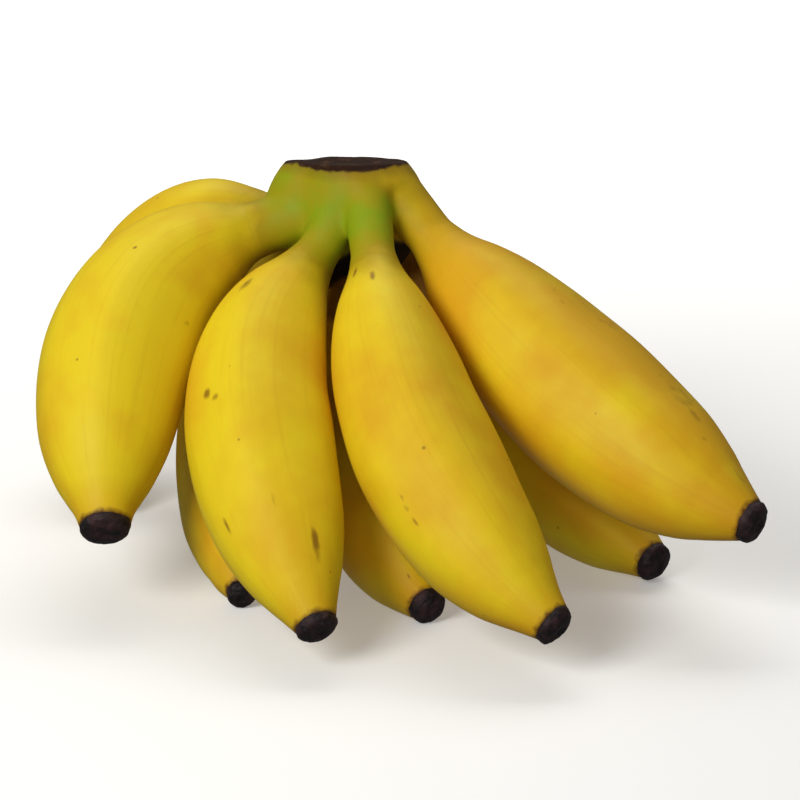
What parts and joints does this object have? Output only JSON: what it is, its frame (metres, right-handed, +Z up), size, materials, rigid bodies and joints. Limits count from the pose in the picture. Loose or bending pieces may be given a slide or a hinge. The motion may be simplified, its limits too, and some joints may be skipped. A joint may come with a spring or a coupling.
{
  "type": "hand of bananas",
  "caption": "Hand of short, plump, ripe bananas growing in two rows from one cut crown, with dark dried blossom ends, lying on its back row.",
  "frame": {"origin": "under the middle of the hand, on the surface that it lies on", "axes": "+Z up, +X along the row of fingers, -Y towards the blossom ends of the front row"},
  "size_m": [0.1752, 0.1556, 0.096],
  "materials": {
    "peel": "waxy satin, ripe yellow",
    "crown_skin": "matt, yellow-green",
    "dried_flower": "dry and rough, brown-black"
  },
  "bodies": {
    "root": {"crown": "crown_skin", "finger_back_1": "peel", "finger_back_2": "peel", "finger_back_3": "peel", "finger_back_4": "peel", "finger_front_1": "peel", "finger_front_2": "peel", "finger_front_3": "peel", "finger_front_4": "peel", "blossom_back_1": "dried_flower", "blossom_back_2": "dried_flower", "blossom_back_3": "dried_flower", "blossom_back_4": "dried_flower", "blossom_front_1": "dried_flower", "blossom_front_2": "dried_flower", "blossom_front_3": "dried_flower", "blossom_front_4": "dried_flower"}
  },
  "joints": []
}
